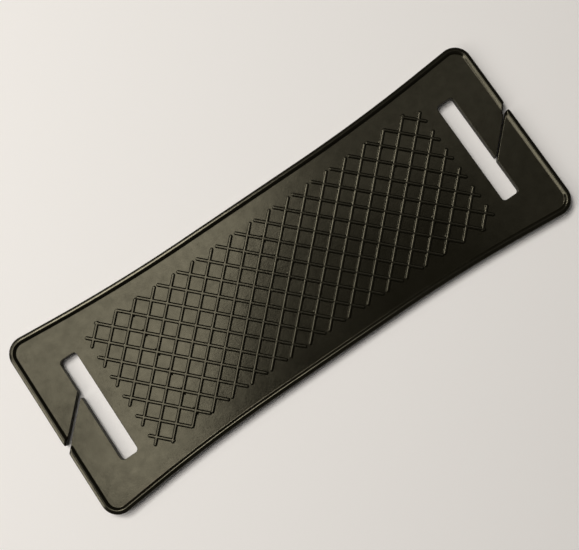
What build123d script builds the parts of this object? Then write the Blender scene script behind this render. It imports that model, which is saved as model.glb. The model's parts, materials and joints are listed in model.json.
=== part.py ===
from build123d import *
import os
from math import atan, cos, radians, sin, sqrt, tan

os.makedirs("parts", exist_ok=True)

# A flexible moulded pad that threads onto a carrying strap. It lies flat, ribs up.
# X runs along the pad, Y across it, Z up, with the origin under the pad's middle.
# The moulding is divided along its flex lines and by its raised features.

# Driving dimensions, in millimetres and degrees.
pad_length = 192.0
sheet_thickness = 3.2

waist_half_width = 31.8
flare_start = 24.0
flare_end = 76.0
flare_radius = 600.0
corner_radius = 6.2

rim_width = 2.2
rim_height = 0.8
rim_edge_radius = 0.7
underside_edge_radius = 0.5

slot_inner_x = 75.6
slot_width = 6.6
slot_length = 40.4
slot_corner_radius = 1.3

slit_angle = 45.0
slit_middle_y = {"left": 0.25, "right": 0.2}
slit_widths = {"left": 1.4, "right": 0.6}
notch_depth = 2.4
notch_lip_reach = 0.9
notch_tip_side = 1.6

rib_spacing = 8.0
rib_width = 1.2
rib_height = 0.5
rib_side_margin = 8.8
rib_columns = 8.5
rib_stub = 1.8

bend_inner_x = 26.0
bend_outer_x = 72.6
tab_root_y = 18.4
hinge_gap = 0.1
bend_up, bend_down = 25.0, 0.0
tab_up, tab_down = 35.0, 0.0
groove_spare_angle = 2.0

# Derived sizes.
half_length = pad_length / 2
slot_outer_x = slot_inner_x + slot_width
top_z = sheet_thickness
hinge_z = sheet_thickness / 2
overlap = 1.0
beyond = 10.0
smallest_piece = 0.4

flare_turn = atan((flare_end - flare_start) / flare_radius)
flare_drop = flare_radius * (1 - cos(flare_turn))
flare_slope = tan(flare_turn)
flare_arc_end = flare_start + flare_radius * sin(flare_turn)
end_half_width = waist_half_width + flare_drop + flare_slope * (half_length - flare_arc_end)


def half_width(x):
    """Half the pad's width at a distance x from the middle."""
    x = abs(x)
    if x <= flare_start:
        return waist_half_width
    if x <= flare_arc_end:
        return waist_half_width + flare_radius - sqrt(flare_radius**2 - (x - flare_start) ** 2)
    return waist_half_width + flare_drop + flare_slope * (x - flare_arc_end)


def long_side(side):
    """The edges of one long side, from the left end to the right end."""
    middle = (flare_start + flare_arc_end) / 2
    points = [
        Vector(x, side * half_width(x))
        for x in (-half_length, -flare_arc_end, -middle, -flare_start)
    ]
    mirrored = [Vector(-point.X, point.Y) for point in reversed(points)]
    return [
        Line(points[0], points[1]),
        ThreePointArc(points[1], points[2], points[3]),
        Line(points[3], mirrored[0]),
        ThreePointArc(mirrored[0], mirrored[1], mirrored[2]),
        Line(mirrored[2], mirrored[3]),
    ]


def outline():
    """The waisted outline with its four round corners, as a flat face."""
    back, front = Vector(half_length, end_half_width), Vector(half_length, -end_half_width)
    short_sides = [
        Line(back, front),
        Line(Vector(-back.X, back.Y), Vector(-front.X, front.Y)),
    ]
    face = make_face(Curve() + (long_side(1) + long_side(-1) + short_sides))
    corners = [v for v in face.vertices() if abs(abs(v.X) - half_length) < 0.01]
    return fillet(corners, corner_radius)


def end_sign(end):
    return -1 if end == "left" else 1


def slot_plan(end):
    """The webbing slot near one end."""
    centre = Pos(end_sign(end) * (slot_inner_x + slot_width / 2), 0)
    return centre * RectangleRounded(slot_width, slot_length, slot_corner_radius)


def slit_point(end, x, reach=0.0):
    """The point of the slit's centre line at x, or one at some distance straight across it."""
    turn = radians(slit_angle)
    middle_x = end_sign(end) * (slot_outer_x + half_length) / 2
    y = slit_middle_y[end] + (x - middle_x) * tan(turn)
    return Vector(x, y) + Vector(-sin(turn), cos(turn)) * reach * end_sign(end)


def slit_plan(end):
    """The slanted slit from the slot to the end of the pad, with its entry notch."""
    sign = end_sign(end)
    length = (half_length - slot_outer_x + 2 * overlap) / cos(radians(slit_angle))
    middle = slit_point(end, sign * (slot_outer_x + half_length) / 2)
    slit = Pos(middle.X, middle.Y) * Rot(0, 0, slit_angle) * Rectangle(length, slit_widths[end])
    edge = slit_point(end, sign * half_length)
    tip_y = edge.Y - sign * notch_tip_side
    tip_x = edge.X - sign * notch_tip_side / tan(radians(slit_angle))
    apex_x = sign * (half_length - notch_depth)
    outside_x = sign * (half_length + overlap)
    notch = make_face(
        Polyline(
            slit_point(end, apex_x),
            Vector(tip_x, tip_y),
            Vector(outside_x, tip_y),
            slit_point(end, outside_x, notch_lip_reach),
            slit_point(end, apex_x, notch_lip_reach),
            close=True,
        )
    )
    return slit + notch


def rib_line(offset, slope):
    """One rib along x = offset + slope * y, cut off near the pad's sides and ends."""
    tips = []
    for side in (-1, 1):
        near_x = offset + slope * side * half_width(offset) * 0.75
        y = side * (half_width(near_x) - rib_side_margin)
        x = offset + slope * y
        limit = rib_columns * rib_spacing + rib_stub
        if abs(x) > limit:
            x = limit if x > 0 else -limit
            y = (x - offset) / slope
        tips.append(Vector(x, y))
    middle = (tips[0] + tips[1]) / 2
    length = (tips[1] - tips[0]).length
    place = Pos(middle.X, middle.Y) * Rot(0, 0, 45 * slope)
    return place * SlotOverall(length + rib_width, rib_width)


def rib_grid():
    """The diamond grid of raised ribs."""
    reach = int(rib_columns + 2.5)
    lines = [
        rib_line(number * rib_spacing, slope)
        for number in range(-reach, reach + 1)
        for slope in (1, -1)
    ]
    return Sketch() + lines


def groove(axis_gap, up, down):
    """The profile of a flex groove: a narrow waist at mid thickness that opens up and down."""
    waist = axis_gap / 2
    high, low = top_z + rim_height + overlap, -overlap
    top = waist + (high - hinge_z) * tan(radians((up + groove_spare_angle) / 2))
    bottom = waist + (hinge_z - low) * tan(radians((down + groove_spare_angle) / 2))
    left_side = [(-bottom, low), (-waist, hinge_z), (-top, high)]
    right_side = [(top, high), (waist, hinge_z), (bottom, low)]
    return left_side + right_side


def bend_groove(x):
    """A cutter across the whole pad at x."""
    profile = Plane.XZ * make_face(Polyline(*groove(hinge_gap, bend_up, bend_down), close=True))
    return Pos(x, 0, 0) * extrude(profile, end_half_width + beyond, both=True)


def tab_groove(end, side):
    """A cutter along the root of one slit tab."""
    profile = Plane.YZ * make_face(Polyline(*groove(hinge_gap, tab_up, tab_down), close=True))
    start_x = slot_outer_x - overlap
    cutter = extrude(profile, half_length - start_x + overlap)
    if end == "left":
        start_x = -half_length - overlap
    return Pos(start_x, side * tab_root_y, 0) * cutter


def block(x_low, x_high, y_low, y_high):
    """A box over the whole height of the pad, for picking out one region."""
    height = top_z + rim_height + 2 * overlap
    place = Pos((x_low + x_high) / 2, (y_low + y_high) / 2, top_z / 2)
    return place * Box(x_high - x_low, y_high - y_low, height)


def mirrored_block(sign, x_near, x_far, y_low, y_high):
    """The same box at the right end, or turned to the left end when sign is -1."""
    low, high = sorted((sign * x_near, sign * x_far))
    return block(low, high, y_low, y_high)


ends = ("left", "right")
pad_outline = outline()
openings = Sketch() + [slot_plan(end) for end in ends]
slits = Sketch() + [slit_plan(end) for end in ends]

# The three raw shapes: the sheet, the rim bead round its edge, and the rib grid.
sheet = extrude(pad_outline, sheet_thickness)
sheet = fillet(sheet.faces().sort_by(Axis.Z)[0].edges(), underside_edge_radius)
sheet = sheet - extrude(openings, sheet_thickness)

ring = pad_outline - offset(pad_outline, -rim_width)
rim = Pos(0, 0, top_z) * extrude(ring, rim_height)
rim = fillet(rim.faces().sort_by(Axis.Z)[-1].edges(), rim_edge_radius)

ribs = Pos(0, 0, top_z) * extrude(rib_grid(), rib_height)

cutters = [Pos(0, 0, -overlap) * extrude(slits, top_z + rim_height + 2 * overlap)]
cutters += [bend_groove(sign * x) for sign in (-1, 1) for x in (bend_inner_x, bend_outer_x)]
cutters += [tab_groove(end, side) for end in ends for side in (-1, 1)]
sheet = sheet - cutters
rim = rim - cutters
ribs = ribs - cutters


def region_of(shape, region, without=None):
    """The solids of a raw shape inside a region, leaving out crumbs."""
    cut = shape & region
    if without is not None:
        cut = cut - without
    return [solid for solid in cut.solids() if solid.volume > smallest_piece]


def save(name, solids):
    export_step(Compound(label=name, children=solids), "parts/" + name + ".step")
    print(name, len(solids), round(sum(solid.volume for solid in solids), 1))


far_y = end_half_width + beyond
far_x = half_length + beyond

centre = block(-bend_inner_x, bend_inner_x, -far_y, far_y)
save("centre_sheet", region_of(sheet, centre))
save("centre_rim_bead", region_of(rim, centre))
save("centre_rib_grid", region_of(ribs, centre))

for end in ends:
    sign = end_sign(end)
    shoulder = mirrored_block(sign, bend_inner_x, bend_outer_x, -far_y, far_y)
    save(end + "_shoulder_sheet", region_of(sheet, shoulder))
    save(end + "_shoulder_rim_bead", region_of(rim, shoulder))
    save(end + "_shoulder_rib_grid", region_of(ribs, shoulder))

    frame = mirrored_block(sign, bend_outer_x, far_x, -far_y, far_y)
    tabs = mirrored_block(sign, slot_outer_x - overlap, far_x, -tab_root_y, tab_root_y)
    save(end + "_slot_frame", region_of(sheet, frame, tabs))
    save(end + "_slot_frame_rim_bead", region_of(rim, frame, tabs))

    for piece, shape in (("tab", sheet), ("tab_rim_bead", rim)):
        halves = region_of(shape, tabs)
        halves.sort(key=lambda solid: solid.center().Y)
        save(end + "_front_" + piece, halves[:1])
        save(end + "_back_" + piece, halves[1:])
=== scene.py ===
import json
import math

import bpy
import numpy as np
from mathutils import Matrix, Vector
from mathutils.geometry import delaunay_2d_cdt


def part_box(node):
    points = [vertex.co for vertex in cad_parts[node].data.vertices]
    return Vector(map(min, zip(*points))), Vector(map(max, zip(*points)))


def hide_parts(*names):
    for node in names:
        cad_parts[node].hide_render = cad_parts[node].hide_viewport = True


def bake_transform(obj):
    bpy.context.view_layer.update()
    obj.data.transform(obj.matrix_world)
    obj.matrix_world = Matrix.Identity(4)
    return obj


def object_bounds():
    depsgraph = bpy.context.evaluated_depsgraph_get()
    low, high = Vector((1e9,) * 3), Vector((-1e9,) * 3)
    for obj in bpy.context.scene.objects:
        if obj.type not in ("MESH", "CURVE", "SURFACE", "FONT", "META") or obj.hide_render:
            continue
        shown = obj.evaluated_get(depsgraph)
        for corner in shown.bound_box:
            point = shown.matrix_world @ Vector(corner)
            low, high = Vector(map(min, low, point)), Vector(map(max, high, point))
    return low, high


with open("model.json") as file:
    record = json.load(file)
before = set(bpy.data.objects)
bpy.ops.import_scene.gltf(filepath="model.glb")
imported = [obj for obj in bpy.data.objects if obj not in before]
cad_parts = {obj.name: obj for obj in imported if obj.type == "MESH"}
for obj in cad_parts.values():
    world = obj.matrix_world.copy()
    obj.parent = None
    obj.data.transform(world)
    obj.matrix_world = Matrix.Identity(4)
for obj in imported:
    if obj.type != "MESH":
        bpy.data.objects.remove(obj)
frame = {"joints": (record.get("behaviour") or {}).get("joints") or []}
cad_low, cad_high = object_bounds()

# The pad's skin is worked out in millimetres for the right half (X above 0). The left half is the
# same shape turned half a turn about Z, apart from the width and the place of its slit. Each half
# has four closed skins that meet at straight seams: the middle, the neck, and two tabs at the end.
MM = 0.001
ROOT2 = math.sqrt(2)

# Sizes that the frame gives.
half_length = cad_high.x / MM
sheet_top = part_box("centre_sheet")[1].z / MM
rim_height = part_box("centre_rim_bead")[1].z / MM - sheet_top
rib_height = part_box("centre_rib_grid")[1].z / MM - sheet_top
slot_outer_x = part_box("right_front_tab")[0].x / MM
hinges = {joint["name"]: joint for joint in frame["joints"]}
inner_bend_x = hinges["right_inner_bend"]["pos_m"][0] / MM
outer_bend_x = hinges["right_outer_bend"]["pos_m"][0] / MM

# Sizes of the moulding, as in the CAD.
waist_half_width = 31.8
flare_start = 24.0
flare_end = 76.0
flare_radius = 600.0
corner_radius = 6.2
slot_inner_x = 75.6
slot_half_length = 20.2
slot_corner_radius = 1.3
slit_angle = math.radians(45.0)
slit_shifts = {"left": -0.25, "right": 0.2}
slit_widths = {"left": 1.4, "right": 0.6}
notch_depth = 2.4
notch_lip_reach = 0.9
notch_tip_side = 1.6
rib_spacing = 8.0
rib_half_width = 0.63
rib_side_margin = 8.8
rib_limit = 69.8
rib_reach = 11
rib_tip_share = 0.75

# The rounded shape of the visual skin.
bead_crest_depth = 1.4
bead_foot_depth = 2.4
bead_outer_drop = 0.5
bead_outer_fullness = 1.5
bead_inner_fullness = 1.25
bead_edge_round = 0.3
bead_end_round = 0.7
rib_fullness = 4.0
cut_round = 0.15
under_round = 0.5
lip_round = 0.6
notch_round = 0.1
tip_round = 0.4
slit_corner_round = 0.3
parting_ridge = 0.05

# Distances from an edge, and from a rib's middle, at which the skin has points.
bead_depths = [0.12, 0.26, 0.42, 0.6, 0.8, 1.0, 1.2, 1.4, 1.6, 1.8, 1.98, 2.14, 2.28, 2.4, 2.5, 3.0]
cut_depths = [0.06, 0.14, 0.24, 0.35, 0.5, 0.8]
under_turns = [math.pi / 8, math.pi / 4, math.pi * 3 / 8, math.pi / 2]
under_depths = [under_round * (1 - math.cos(turn)) for turn in under_turns] + [0.8]
rib_offsets = [0, 0.18, 0.3, 0.39, 0.46, 0.52, 0.58, 0.63, 0.7, 1.3, 2.05]
fan_radii = [0.18, 0.3, 0.39, 0.46, 0.52, 0.58, 0.63, 0.7]
fan_turns = np.radians(np.arange(-90, 91, 15))

# The points down a wall: the share of its height, and how much of the parting ridge stands out.
wall_steps = [(0.25, 0), (0.44, 0), (0.5, 1), (0.56, 0), (0.8, 0)]

# Spacing of the plain points, and the least gaps between points and from edges and seams.
outline_step = 0.8
arc_step = math.radians(12)
seam_step = 1.0
margin_step = 1.0
tab_step = 0.9
under_step = 1.5
notch_step = 0.24
ring_gap = 0.03
field_gap = 0.04
seam_gap = 0.05
notch_gap = 0.08
under_gap = 0.075
under_margin = 1.0
bead_clearance = 3.1
cut_clearance = 1.0
rib_zone_depth = 7.2
rib_zone_end = rib_limit + 1.5
field_half_width = 36

# The fine points near the notch lie in this zone.
notch_zone_length = 4.5
notch_zone_y = (-12, 14)
notch_zone_depth = 3.2
notch_zone_reach = 2.2

# Where the skins meet.
shoulder_seam_x = 52.0
slot_middle_x = (slot_inner_x + slot_outer_x) / 2

# Spans before and past the flex line of each part of the skin.
inner_bend_span = (-1, 15)
outer_bend_span = (-2, 6)

# Derived sizes.
flare_turn = math.atan((flare_end - flare_start) / flare_radius)
flare_slope = math.tan(flare_turn)
flare_arc_end = flare_start + flare_radius * math.sin(flare_turn)
flare_drop = flare_radius * (1 - math.cos(flare_turn))
slit_slope = math.tan(slit_angle)
half_pitch = rib_spacing / ROOT2 / 2
pitch = 2 * half_pitch
grid_offsets = sorted({s * o for s in (-1, 1) for o in rib_offsets} | {half_pitch})


def half_width(x):
    """Half the pad's width at X."""
    x = np.abs(x)
    on_arc = np.clip(x, flare_start, flare_arc_end) - flare_start
    arc = flare_radius - np.sqrt(flare_radius**2 - on_arc**2)
    return waist_half_width + arc + flare_slope * np.clip(x - flare_arc_end, 0, None)


def side_lean(x):
    """How much longer a step along the side is than along X."""
    on_arc = np.clip(np.abs(x), flare_start, flare_arc_end) - flare_start
    return flare_radius / np.sqrt(flare_radius**2 - on_arc**2)


end_half_width = float(half_width(half_length))
corner_x = half_length - corner_radius
corner_y = float(half_width(corner_x)) - corner_radius * math.hypot(1, flare_slope)
round_start_x = corner_x - 1.0


def outline_depth(x, y):
    """How far inside the pad's outline a point is."""
    x, y = np.abs(x), np.abs(y)
    depth = np.minimum((half_width(x) - y) / side_lean(x), half_length - x)
    dx, dy = x - corner_x, y - corner_y
    in_corner = (dy > 0) & (dx + flare_slope * dy > 0)
    return np.where(in_corner, corner_radius - np.hypot(dx, dy), depth)


def rib_ends(slope):
    """The lowest and highest Y of every rib along x = number * spacing + slope * y."""
    ends = []
    for side in (-1, 1):
        offset = np.arange(-rib_reach, rib_reach + 1) * rib_spacing
        near_x = offset + slope * side * half_width(offset) * rib_tip_share
        y = side * (half_width(near_x) - rib_side_margin)
        x = offset + slope * y
        past = np.abs(x) > rib_limit
        y[past] = ((np.sign(x) * rib_limit - offset) / slope)[past]
        ends.append(y)
    return np.minimum(*ends), np.maximum(*ends)


ribs = {slope: rib_ends(slope) for slope in (1, -1)}


def rib_rise(x, y):
    """Height of the rib grid above the sheet."""
    rise = np.zeros_like(x)
    for slope, (low, high) in ribs.items():
        number = np.round((x - slope * y) / rib_spacing)
        number = np.clip(number, -rib_reach, rib_reach).astype(int)
        start = number * rib_spacing
        along_y = (slope * (x - start) + y) / 2
        near_y = np.clip(along_y, low[number + rib_reach], high[number + rib_reach])
        away = np.hypot(x - start - slope * near_y, y - near_y) / rib_half_width
        rise = np.maximum(rise, rib_height * np.clip(1 - away**rib_fullness, 0, None))
    return rise


def rounding(depth, radius):
    """How far a rounded edge falls away at a distance from the edge."""
    return radius - np.sqrt(radius**2 - np.clip(radius - depth, 0, radius) ** 2)


def bead_rise(depth):
    """Height of the rim bead above the sheet: a broad outer slope, and a steeper one inside."""
    outward = np.clip(1 - depth / bead_crest_depth, 0, 1)
    inward = np.clip((depth - bead_crest_depth) / (bead_foot_depth - bead_crest_depth), 0, 1)
    fall = bead_outer_drop * outward**bead_outer_fullness + inward**bead_inner_fullness
    return rim_height * (1 - fall) - rounding(depth, bead_edge_round)


def top_height(x, y, cut_depth):
    """Z of the top face. The bead is rounded off where a slit cuts it."""
    short = 1 - np.clip(cut_depth / bead_end_round, 0, 1)
    bead = bead_rise(outline_depth(x, y)) * np.sqrt(1 - short**2)
    return sheet_top + bead + rib_rise(x, y) - rounding(cut_depth, cut_round)


def grid_lines(low, high):
    """Positions across the ribs of one family, closest together on the ribs."""
    first, last = math.floor(low / pitch) - 1, math.ceil(high / pitch) + 1
    return np.array([k * pitch + o for k in range(first, last + 1) for o in grid_offsets])


def grid_points(x_low, x_high):
    """Points on and between the ribs."""
    reach = float(half_width(rib_limit))
    u = grid_lines((x_low - reach) / ROOT2, (x_high + reach) / ROOT2)
    u, v = [a.ravel() for a in np.meshgrid(u, u)]
    return np.stack([(u + v) / ROOT2, (v - u) / ROOT2], -1)


def rib_tip_points():
    """Extra points round the rounded end of every rib."""
    radius, angle = [a.ravel() for a in np.meshgrid(fan_radii, fan_turns)]
    points = []
    for slope, (low, high) in ribs.items():
        for number in range(-rib_reach, rib_reach + 1):
            for side, y in ((-1, low[number + rib_reach]), (1, high[number + rib_reach])):
                middle = np.array((number * rib_spacing + slope * y, y))
                along = np.array((slope, 1)) * side / ROOT2
                out = np.array((-along[1], along[0]))
                spokes = np.outer(np.cos(angle), along) + np.outer(np.sin(angle), out)
                points.append(middle + radius[:, None] * spokes)
    return np.concatenate(points)


def even_points(x_low, x_high, y_low, y_high, step):
    """Evenly spaced points over a rectangle."""
    x = np.arange(x_low + step / 2, x_high, step)
    y = np.arange(y_low + step / 2, y_high, step)
    return np.stack([a.ravel() for a in np.meshgrid(x, y)], -1)


def seam_stops(x, low, high):
    """Y of the points along a seam at X, the same for the skins on both sides of it."""
    edge, lean = float(half_width(x)), float(side_lean(x))
    stops = [s * (edge - d * lean) for s in (-1, 1) for d in bead_depths]
    if x < rib_limit:
        stops += [x - ROOT2 * u for u in grid_lines((x - edge) / ROOT2, (x + edge) / ROOT2)]
    else:
        stops += [s * (slot_half_length + d) for s in (-1, 1) for d in cut_depths]
        stops += list(np.arange(-edge, edge, seam_step))
    kept = [low]
    for y in sorted(y for y in stops if low + seam_gap < y < high - seam_gap):
        if y - kept[-1] > field_gap:
            kept.append(y)
    return kept + [high]


def unit(v):
    """The vector at length one."""
    return v / np.linalg.norm(v)


def rounded_corners(corners):
    """The points of a closed run with its corners rounded, each with the kind of its next edge.

    Corners are (x, y, radius, kind of the edge that follows)."""
    points = []
    for i, (x, y, radius, kind) in enumerate(corners):
        before, after = corners[i - 1], corners[(i + 1) % len(corners)]
        here = np.array((x, y), float)
        if not radius:
            points.append((here, kind))
            continue
        back, ahead = unit(np.array(before[:2]) - here), unit(np.array(after[:2]) - here)
        half = math.acos(np.clip(back @ ahead, -1, 1)) / 2
        centre = here + unit(back + ahead) * radius / math.sin(half)
        first = here + back * radius / math.tan(half) - centre
        turn = math.copysign(math.pi - 2 * half, back[1] * ahead[0] - back[0] * ahead[1])
        parts = max(2, math.ceil(abs(turn) / arc_step))
        arc_kind = "cut" if "cut" in (before[3], kind) else kind
        for k in range(parts + 1):
            a = turn * k / parts
            spoke_x = first[0] * math.cos(a) - first[1] * math.sin(a)
            spoke_y = first[0] * math.sin(a) + first[1] * math.cos(a)
            points.append((centre + np.array((spoke_x, spoke_y)), arc_kind if k < parts else kind))
    return points


def closed_run(corners):
    """Rounds the corners of a closed run and divides its edges. Gives the points and the kinds."""
    rounded = rounded_corners(corners)
    points, kinds = [], []
    for i, (here, kind) in enumerate(rounded):
        there = rounded[(i + 1) % len(rounded)][0]
        length = np.linalg.norm(there - here)
        parts = 1 if kind == "seam" else max(1, math.ceil(length / outline_step))
        for k in range(parts):
            points.append(here + (there - here) * k / parts)
            kinds.append(kind)
    return np.array(points), kinds


def long_side(x_low, x_high, side):
    """Corners along the front (side -1) or back (side 1), from x_low to x_high, without the last."""
    stops = np.linspace(x_low, x_high, max(2, round(abs(x_high - x_low))) + 1)[:-1]
    return [(x, side * float(half_width(x)), 0, "outer") for x in stops]


def seam_up(x, low, high):
    """Corners along a seam towards the back, without the last."""
    return [(x, y, 0, "seam") for y in seam_stops(x, low, high)[:-1]]


def seam_down(x, high, low):
    """Corners along a seam towards the front, without the last."""
    return [(x, y, 0, "seam") for y in seam_stops(x, low, high)[:0:-1]]


def middle_corners():
    """The ribbed middle of one half, from the pad's centre line to the shoulder."""
    x = shoulder_seam_x
    waist, edge = float(half_width(0)), float(half_width(x))
    return (long_side(0, x, -1) + seam_up(x, -edge, edge)
            + long_side(x, 0, 1) + seam_down(0.0, waist, -waist))


def neck_corners():
    """The rest of the ribs and the sheet round the inner side of the slot."""
    near, far = shoulder_seam_x, slot_middle_x
    near_edge, edge = float(half_width(near)), float(half_width(far))
    slot = [(far, -slot_half_length, 0, "cut"),
            (slot_inner_x, -slot_half_length, slot_corner_radius, "cut"),
            (slot_inner_x, slot_half_length, slot_corner_radius, "cut")]
    return (long_side(near, far, -1) + seam_up(far, -edge, -slot_half_length) + slot
            + seam_up(far, slot_half_length, edge)
            + long_side(far, near, 1) + seam_down(near, near_edge, -near_edge))


def slit_line(end, x, reach=0.0):
    """Y of the slit's centre line, or of a line at some distance behind it."""
    middle = (slot_outer_x + half_length) / 2
    return slit_shifts[end] + (x - middle) * slit_slope + reach / math.cos(slit_angle)


def beside_slit(end, x, reach):
    """The point at some distance straight across the slit from its centre line at X."""
    return x - reach * math.sin(slit_angle), slit_line(end, x) + reach * math.cos(slit_angle)


def lip_tab_corners(end):
    """The end's corner block and tab on the side where the notch widens the slit."""
    half, x = slit_widths[end] / 2, slot_middle_x
    notch_x = half_length - notch_depth
    return ([(x, slot_half_length, 0, "cut"),
             (slot_outer_x, slot_half_length, slot_corner_radius, "cut"),
             (slot_outer_x, slit_line(end, slot_outer_x, half), slit_corner_round, "cut"),
             (*beside_slit(end, notch_x, half), 0, "cut"),
             (*beside_slit(end, notch_x, notch_lip_reach), notch_round, "cut"),
             (half_length, slit_line(end, half_length, notch_lip_reach), lip_round, "outer"),
             (half_length, end_half_width, corner_radius, "outer")]
            + long_side(round_start_x, x, 1) + seam_down(x, float(half_width(x)), slot_half_length))


def tip_tab_corners(end):
    """The end's corner block and tab on the side where the slit leaves a pointed tip."""
    half, x = slit_widths[end] / 2, slot_middle_x
    tip_y = slit_line(end, half_length) - notch_tip_side
    blunt_x = half_length - (notch_tip_side - half / math.cos(slit_angle)) / slit_slope
    return (long_side(x, round_start_x, -1)
            + [(round_start_x, -float(half_width(round_start_x)), 0, "outer"),
               (half_length, -end_half_width, corner_radius, "outer"),
               (half_length, tip_y, tip_round, "cut"),
               (blunt_x, tip_y, tip_round, "cut"),
               (slot_outer_x, slit_line(end, slot_outer_x, -half), slit_corner_round, "cut"),
               (slot_outer_x, -slot_half_length, slot_corner_radius, "cut")]
            + seam_down(x, -slot_half_length, -float(half_width(x))))


def distance_to(points, starts, ends):
    """Distance of each point from the nearest of some straight edges."""
    nearest = np.full(len(points), np.inf)
    for a, b in zip(starts, ends):
        run = b - a
        t = np.clip(((points - a) @ run) / (run @ run), 0, 1)
        nearest = np.minimum(nearest, np.hypot(*(points - a - t[:, None] * run).T))
    return nearest


def is_inside(points, loop):
    """Whether each point is inside a closed loop."""
    x, y = points.T
    inside = np.zeros(len(points), bool)
    for (ax, ay), (bx, by) in zip(loop, np.roll(loop, -1, 0)):
        crosses = (ay > y) != (by > y)
        if crosses.any():
            inside ^= crosses & (x < ax + (y - ay) / (by - ay) * (bx - ax))
    return inside


def thinned(points, gap):
    """Leaves out points that are too close to one before them."""
    row_length = 1000003
    for shift in (0, gap / 2):
        cells = np.floor((points + shift) / gap).astype(np.int64)
        first = np.unique(cells[:, 0] * row_length + cells[:, 1], return_index=True)[1]
        points = points[np.sort(first)]
    return points


def filled(loop, extra):
    """Triangles over a loop, through the loop's own points and extra ones inside it."""
    points = np.concatenate([loop, extra])
    count = len(loop)
    edges = [(i, (i + 1) % count) for i in range(count)]
    out = delaunay_2d_cdt([Vector(p) for p in points], edges, [], 1, 1e-6)
    first = [origins[0] for origins in out[3]]
    return points, [tuple(first[v] for v in face) for face in out[2]]


class Outline:
    """The closed outline of one skin. Each edge is "outer", "cut" (a slot or slit) or a "seam"."""

    def __init__(self, corners):
        self.loop, self.kinds = closed_run(corners)
        self.count = len(self.loop)
        self.nexts = np.roll(self.loop, -1, 0)
        self.is_cut = np.array([kind == "cut" for kind in self.kinds])
        self.is_wall = np.array([kind != "seam" for kind in self.kinds])

    def cut_depth(self, points):
        """How far points are from the nearest slot or slit."""
        return distance_to(points, self.loop[self.is_cut], self.nexts[self.is_cut])

    def kept(self, points, margin):
        """The points inside that are far enough from every wall and seam."""
        points = points[is_inside(points, self.loop)]
        near_wall = distance_to(points, self.loop[self.is_wall], self.nexts[self.is_wall])
        near_seam = distance_to(points, self.loop[~self.is_wall], self.nexts[~self.is_wall])
        return points[(near_wall > margin) & (near_seam > seam_gap)]

    def along(self, i):
        """The direction of the outline at one of its points."""
        return unit(self.loop[(i + 1) % self.count] - self.loop[i - 1])

    def ring_points(self, kind, depths):
        """Points at set distances inside every edge of one kind."""
        points = []
        for i in range(self.count):
            if kind not in (self.kinds[i], self.kinds[i - 1]):
                continue
            run = self.along(i)
            inward = np.array((-run[1], run[0]))
            points += [self.loop[i] + inward * d for d in depths]
        return np.array(points).reshape(-1, 2)

    def top_face(self, extra):
        """Points and triangles of the top: rings along the edges, the notch, and the extra points."""
        rings = [self.ring_points("outer", bead_depths), self.ring_points("cut", cut_depths)]
        points = [self.kept(np.concatenate(rings), ring_gap)]
        if self.is_cut.any():
            near = even_points(half_length - notch_zone_length, half_length, *notch_zone_y, notch_step)
            in_zone = outline_depth(*near.T) < notch_zone_depth
            points.append(self.kept(near[in_zone & (self.cut_depth(near) < notch_zone_reach)], notch_gap))
        field = self.kept(extra, field_gap)
        is_clear = outline_depth(*field.T) > bead_clearance
        points.append(field[is_clear & (self.cut_depth(field) > cut_clearance)])
        return filled(self.loop, thinned(np.concatenate(points), ring_gap))

    def under_face(self):
        """Points and triangles of the underside, which is flat inside its rounded edges."""
        rings = [self.ring_points(kind, under_depths) for kind in ("outer", "cut")]
        x_low, y_low = self.loop.min(0)
        x_high, y_high = self.loop.max(0)
        plain = self.kept(even_points(x_low, x_high, y_low, y_high, under_step), under_margin)
        points = [self.kept(np.concatenate(rings), ring_gap), plain]
        return filled(self.loop, thinned(np.concatenate(points), under_gap))

    def wall_column(self, i, top_z, under_z):
        """The points down the wall at one of the outline's points."""
        run = self.along(i)
        outward = np.array((run[1], -run[0]))
        ridge = 0 if "cut" in (self.kinds[i], self.kinds[i - 1]) else parting_ridge
        return [np.append(self.loop[i] + outward * out * ridge, top_z + (under_z - top_z) * share)
                for share, out in wall_steps]


def sharpened(mesh, pairs):
    """Marks the edges between the given pairs of points as sharp."""
    ends = np.zeros(len(mesh.edges) * 2, np.int64)
    mesh.edges.foreach_get("vertices", ends)
    ends, wanted = np.sort(ends.reshape(-1, 2), 1), np.sort(np.array(pairs), 1)
    row_length = len(mesh.vertices)
    is_sharp = np.isin(ends[:, 0] * row_length + ends[:, 1], wanted[:, 0] * row_length + wanted[:, 1])
    mesh.attributes.new("sharp_edge", "BOOLEAN", "EDGE").data.foreach_set("value", is_sharp)


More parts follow.
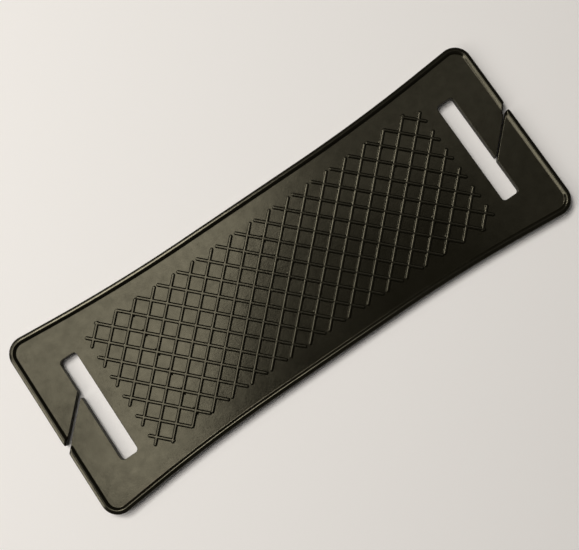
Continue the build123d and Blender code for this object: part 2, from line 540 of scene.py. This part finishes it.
def skin(name, corners, turn, extra):
    """One closed skin. turn is 1 for the right half and -1 for the left half."""
    outline = Outline(corners)
    top, top_faces = outline.top_face(np.concatenate(extra))
    under, under_faces = outline.under_face()
    top_z = top_height(*top.T, outline.cut_depth(top))
    under_depth = np.minimum(outline_depth(*under.T), outline.cut_depth(under))
    under_z = rounding(under_depth, under_round)

    points = [np.column_stack([top, top_z]), np.column_stack([under, under_z])]
    faces = list(top_faces)
    faces += [tuple(v + len(top) for v in face[::-1]) for face in under_faces]
    columns = [[i, len(top) + i] for i in range(outline.count)]
    next_index = len(top) + len(under)
    for i in range(outline.count):
        if outline.is_wall[i] or outline.is_wall[i - 1]:
            rows = outline.wall_column(i, top_z[i], under_z[i])
            points.append(np.array(rows))
            columns[i][1:1] = range(next_index, next_index + len(rows))
            next_index += len(rows)
    sharp = []
    for i in range(outline.count):
        a, b = columns[i], columns[(i + 1) % outline.count]
        if outline.kinds[i] == "seam":
            face = a + b[::-1]
            sharp += list(zip(face, face[1:] + face[:1]))
            faces.append(tuple(face))
        else:
            faces += [(a[k], a[k + 1], b[k + 1], b[k]) for k in range(len(a) - 1)]

    co = np.concatenate(points)
    co[:, :2] *= turn
    mesh = bpy.data.meshes.new(name)
    mesh.from_pydata((co * MM).tolist(), [], faces)
    mesh.update()
    mesh.polygons.foreach_set("use_smooth", np.ones(len(mesh.polygons), bool))
    sharpened(mesh, sharp)
    mesh.materials.append(rubber)
    piece = bpy.data.objects.new(name, mesh)
    bpy.context.scene.collection.objects.link(piece)
    return piece


def add(tree, kind, x, y, **inputs):
    """A new shader node. Inputs are named with underscores for spaces."""
    node = tree.nodes.new(kind)
    node.location = (x, y)
    for key, value in inputs.items():
        node.inputs[key.replace("_", " ")].default_value = value
    return node


def add_range(tree, source, x, y, low, high, to_low=0.0, to_high=1.0):
    """Maps low to high onto to_low to to_high, and holds what lies outside."""
    node = add(tree, "ShaderNodeMapRange", x, y, From_Min=low, From_Max=high, To_Min=to_low, To_Max=to_high)
    tree.links.new(source, node.inputs["Value"])
    return node.outputs["Result"]


def add_math(tree, operation, a, b, x, y):
    """A calculation with a socket and another socket or a number."""
    node = add(tree, "ShaderNodeMath", x, y)
    node.operation = operation
    tree.links.new(a, node.inputs[0])
    if isinstance(b, float):
        node.inputs[1].default_value = b
    else:
        tree.links.new(b, node.inputs[1])
    return node.outputs["Value"]


def add_tint(tree, share, base, colour, x, y):
    """A share of one colour laid over a base colour."""
    node = add(tree, "ShaderNodeMix", x, y)
    node.data_type = "RGBA"
    node.inputs["B"].default_value = colour
    tree.links.new(share, node.inputs["Factor"])
    tree.links.new(base, node.inputs["A"])
    return node.outputs["Result"]


def rubber_colour(tree, place, mottle, dark, light, wear_and_sheen_colour, dust):
    """Mottled black, lighter on what stands up as wear and as a painted sheen, with a few specks of dust.
    """
    tone = add(tree, "ShaderNodeValToRGB", -600, 100)
    tone.color_ramp.elements[0].position = 0.3
    tone.color_ramp.elements[0].color = dark
    tone.color_ramp.elements[1].position = 0.75
    tone.color_ramp.elements[1].color = light
    tree.links.new(mottle, tone.inputs["Fac"])

    split = add(tree, "ShaderNodeSeparateXYZ", -900, 600)
    tree.links.new(place, split.inputs["Vector"])
    # Rib and bead tops are tinted lighter by their height: partly wear, partly a painted sheen.
    wear_and_sheen_start, wear_and_sheen_full = (sheet_top + 0.2) * MM, (sheet_top + 0.55) * MM
    raised = add_range(tree, split.outputs["Z"], -600, 600, wear_and_sheen_start, wear_and_sheen_full)
    wear_and_sheen_share = add_math(tree, "MULTIPLY", raised, mottle, -300, 500)
    wear_and_sheen_tone = add_tint(tree, wear_and_sheen_share, tone.outputs["Color"], wear_and_sheen_colour, -100, 200)

    specks = add(tree, "ShaderNodeTexVoronoi", -900, -600, Scale=160.0)
    tree.links.new(place, specks.inputs["Vector"])
    near = add_range(tree, specks.outputs["Distance"], -600, -600, 0.05, 0.09, 1.0, 0.0)
    rare = add_math(tree, "GREATER_THAN", specks.outputs["Color"], 0.94, -400, -750)
    speck = add_math(tree, "MULTIPLY", near, rare, -200, -650)
    return add_tint(tree, speck, wear_and_sheen_tone, dust, 200, 200)


def make_rubber():
    """Black moulded rubber: satin, finely grained, a little mottled, duller on walls."""
    material = bpy.data.materials.new("rubber")
    material.use_nodes = True
    tree = material.node_tree
    tree.nodes.clear()
    link = tree.links.new
    out = add(tree, "ShaderNodeOutputMaterial", 900, 0)
    shader = add(tree, "ShaderNodeBsdfPrincipled", 600, 0)
    link(shader.outputs["BSDF"], out.inputs["Surface"])
    shader.inputs["Specular Tint"].default_value = (1.0, 0.95, 0.72, 1)
    coords = add(tree, "ShaderNodeTexCoord", -1200, 0)
    place = coords.outputs["Object"]

    grain = add(tree, "ShaderNodeTexNoise", -900, -300, Scale=1500.0, Detail=4.0, Roughness=0.7)
    mottle = add(tree, "ShaderNodeTexNoise", -900, 0, Scale=70.0, Detail=5.0, Roughness=0.65)
    cloud = add(tree, "ShaderNodeTexNoise", -900, 300, Scale=18.0, Detail=2.0, Roughness=0.5)
    patchy = add(tree, "ShaderNodeTexNoise", -900, -900, Scale=260.0, Detail=6.0, Roughness=0.75)
    for noise in (grain, mottle, cloud, patchy):
        link(place, noise.inputs["Vector"])

    dark, light = (0.0027, 0.0023, 0.0010, 1), (0.0046, 0.0040, 0.0020, 1)
    # The lighter colour for raised tops stands for wear and for a painted sheen; the dust colour is real
    # dust.
    wear_and_sheen_colour, dust = (0.008, 0.0074, 0.0055, 1), (0.060, 0.055, 0.048, 1)
    colour = rubber_colour(tree, place, mottle.outputs["Fac"], dark, light, wear_and_sheen_colour, dust)
    link(colour, shader.inputs["Base Color"])

    satin = add_range(tree, cloud.outputs["Fac"], -300, -100, 0.3, 0.7, 0.15, 0.20)
    facing = add(tree, "ShaderNodeSeparateXYZ", -900, 900)
    link(coords.outputs["Normal"], facing.inputs["Vector"])
    wall_dullness = add_range(tree, facing.outputs["Z"], -600, 900, 0.1, 0.5, 0.45, 0.0)
    link(add_math(tree, "ADD", satin, wall_dullness, 0, -100), shader.inputs["Roughness"])
    sheen = add_range(tree, patchy.outputs["Fac"], -300, -900, 0.3, 0.7, 0.40, 0.62)
    link(sheen, shader.inputs["Specular IOR Level"])

    swell = add(tree, "ShaderNodeBump", 100, -300, Strength=0.13, Distance=0.0004)
    link(mottle.outputs["Fac"], swell.inputs["Height"])
    fine = add(tree, "ShaderNodeBump", 350, -300, Strength=0.35, Distance=0.00004)
    link(grain.outputs["Fac"], fine.inputs["Height"])
    link(swell.outputs["Normal"], fine.inputs["Normal"])
    link(fine.outputs["Normal"], shader.inputs["Normal"])
    return material


def field_points(x_low, x_high):
    """The rib grid's points and the plain margins beside and beyond it."""
    ribbed = grid_points(x_low, x_high)
    margins = even_points(x_low, x_high, -field_half_width, field_half_width, margin_step)
    ribbed_depth, margin_depth = outline_depth(*ribbed.T), outline_depth(*margins.T)
    ribbed = ribbed[(ribbed_depth > rib_zone_depth) & (ribbed[:, 0] < rib_zone_end)]
    margins = margins[(margin_depth <= rib_zone_depth) | (margins[:, 0] > rib_zone_end)]
    return [rib_tip_points(), ribbed, margins]


def make_half(end, turn):
    """The four skins of one half, over the bodies that they cover, whose CAD parts are hidden."""
    middle_field = field_points(0, shoulder_seam_x)
    neck_field = field_points(shoulder_seam_x, slot_middle_x)
    tab_field = [even_points(slot_middle_x, half_length, -field_half_width, field_half_width, tab_step)]
    middle = skin(f"{end}_middle_skin", middle_corners(), turn, middle_field)
    neck = skin(f"{end}_neck_skin", neck_corners(), turn, neck_field)
    lip = skin(f"{end}_lip_tab_skin", lip_tab_corners(end), turn, tab_field)
    tip = skin(f"{end}_tip_tab_skin", tip_tab_corners(end), turn, tab_field)

    shoulder, last = f"{end}_shoulder", f"{end}_end"
    lip_side, tip_side = ("back", "front") if turn > 0 else ("front", "back")
    spans = {
        middle: ("centre", shoulder, inner_bend_x, inner_bend_span),
        neck: (shoulder, last, outer_bend_x, outer_bend_span),
    }
    for piece, (a, b, hinge_x, (before, past)) in spans.items():
        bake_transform(piece)
    for piece, side, sign in ((lip, lip_side, 1), (tip, tip_side, -1)):
        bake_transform(piece)
    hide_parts(f"{end}_shoulder_sheet", f"{end}_shoulder_rim_bead", f"{end}_shoulder_rib_grid",
                "centre_sheet", "centre_rim_bead", "centre_rib_grid")
    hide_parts(f"{end}_slot_frame", f"{end}_slot_frame_rim_bead")
    for piece, side in ((lip, lip_side), (tip, tip_side)):
        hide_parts(f"{end}_{side}_tab", f"{end}_{side}_tab_rim_bead")


rubber = make_rubber()
make_half("left", -1)
make_half("right", 1)


def make_floor():
    """A plain pale floor, a hair below the pad."""
    reach, gap = 3.0, 0.02 * MM
    mesh = bpy.data.meshes.new("floor")
    corners = [(-reach, -reach, 0), (reach, -reach, 0), (reach, reach, 0), (-reach, reach, 0)]
    mesh.from_pydata(corners, [], [(0, 1, 2, 3)])
    floor = bpy.data.objects.new("floor", mesh)
    floor.location.z = -gap
    bpy.context.scene.collection.objects.link(floor)
    material = bpy.data.materials.new("pale_floor")
    material.use_nodes = True
    shader = material.node_tree.nodes["Principled BSDF"]
    shader.inputs["Base Color"].default_value = (0.92, 0.92, 0.94, 1)
    shader.inputs["Roughness"].default_value = 0.9
    shader.inputs["Specular IOR Level"].default_value = 0.1
    mesh.materials.append(material)


make_floor()

# Lights, in metres. The panels hang level and give the sheet its reflections, brightest at the left.
light_colour = (1.0, 0.95, 0.87)
panel_height = 0.70


def soft_light(name, place, aim, size, radiance, turn=0):
    """A soft box that shines with an even radiance, turned about its own axis."""
    lamp = bpy.data.lights.new(name, "AREA")
    lamp.shape = "RECTANGLE"
    lamp.size, lamp.size_y = size
    lamp.energy = radiance * math.pi * size[0] * size[1]
    lamp.color = light_colour
    light = bpy.data.objects.new(name, lamp)
    light.location = place
    facing = (Vector(aim) - Vector(place)).to_track_quat("-Z", "Y").to_matrix()
    light.rotation_euler = (facing @ Matrix.Rotation(math.radians(turn), 3, "Z")).to_euler()
    bpy.context.scene.collection.objects.link(light)


def level_panel(name, x, y, size, radiance, turn=0):
    """A soft box that hangs level over a place."""
    soft_light(name, (x, y, panel_height), (x, y, 0), size, radiance, turn)


def make_lights():
    """The soft light: level panels, two windows and a lamp, in a nearly dark room."""
    level_panel("strip", -0.099, 0.130, (0.15, 0.512), 3.8, -46)
    level_panel("left_panel", -0.272, 0.295, (0.35, 0.385), 3.1, 17)
    level_panel("far_panel", 0.159, 0.151, (0.566, 0.13), 0.6)
    level_panel("fill_panel", 0.310, -0.020, (0.14, 0.20), 0.33)
    level_panel("side_panel", -0.56, 0.270, (0.34, 0.36), 1.8)
    level_panel("side_window", -1.38, 0.125, (1.30, 0.35), 5.0)
    soft_light("corner_window", (-1.2, 1.2, 1.4), (0, 0, 0), (0.8, 1.1), 1.0)
    soft_light("lamp", (-0.24, 0.95, 1.5), (0, 0, 0), (0.5, 0.5), 14.0)
    world = bpy.data.worlds.new("studio")
    world.use_nodes = True
    backdrop = world.node_tree.nodes["Background"]
    backdrop.inputs["Color"].default_value = (1.0, 0.98, 0.92, 1)
    backdrop.inputs["Strength"].default_value = 0.04
    bpy.context.scene.world = world
    bpy.context.scene.view_settings.view_transform = "Standard"


make_lights()


def make_camera():
    """The camera looks down on the pad, with the pad's length rising to the right."""
    place = Vector((-8.635, -32.858, 311.241)) * MM
    right = Vector((0.827282, -0.560593, -0.036608)).normalized()
    up = Vector((0.561051, 0.821108, 0.104899))
    up = (up - right * up.dot(right)).normalized()
    turned = Matrix((right, up, right.cross(up))).transposed().to_4x4()
    camera = bpy.data.objects.new("camera", bpy.data.cameras.new("camera"))
    camera.data.lens = 55.96
    camera.data.sensor_width = 36.0
    camera.data.clip_start, camera.data.clip_end = 0.01, 20.0
    camera.matrix_world = Matrix.Translation(place) @ turned
    bpy.context.scene.collection.objects.link(camera)
    bpy.context.scene.camera = camera


make_camera()
